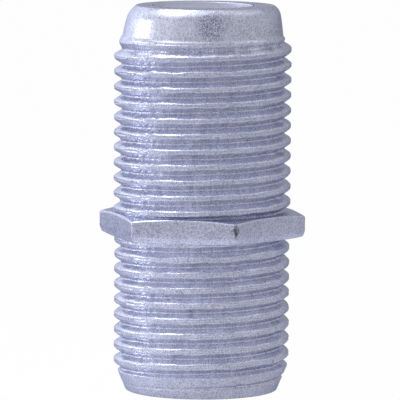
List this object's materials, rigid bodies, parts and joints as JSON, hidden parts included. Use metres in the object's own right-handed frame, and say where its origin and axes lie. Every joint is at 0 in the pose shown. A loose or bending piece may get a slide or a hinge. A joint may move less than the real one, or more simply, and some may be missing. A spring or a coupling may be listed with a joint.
{
  "type": "coaxial barrel coupler",
  "caption": "Short round coupler with a socket in each end: a plated barrel threaded outside at both ends, a thin hex collar between the threads, moulded insulators and a contact tube inside.",
  "frame": {"origin": "middle of the lower end face", "axes": "+Z along the barrel's axis towards the smooth rolled nose; two corners of the hex collar lie on +X and -X, so two of its flats face -Y and +Y"},
  "size_m": [0.011, 0.0094, 0.0201],
  "materials": {
    "nickel_plate": "bright nickel plating over turned brass, slightly grained",
    "insulator_plastic": "natural moulded plastic",
    "contact_metal": "tin-plated brass tube",
    "spring_metal": "pressed spring bronze"
  },
  "bodies": {
    "root": {"barrel_body": "nickel_plate", "lower_insulator": "insulator_plastic", "upper_insulator": "insulator_plastic", "contact_tube": "contact_metal", "lower_spring_contact": "spring_metal", "upper_spring_contact": "spring_metal"}
  },
  "joints": []
}
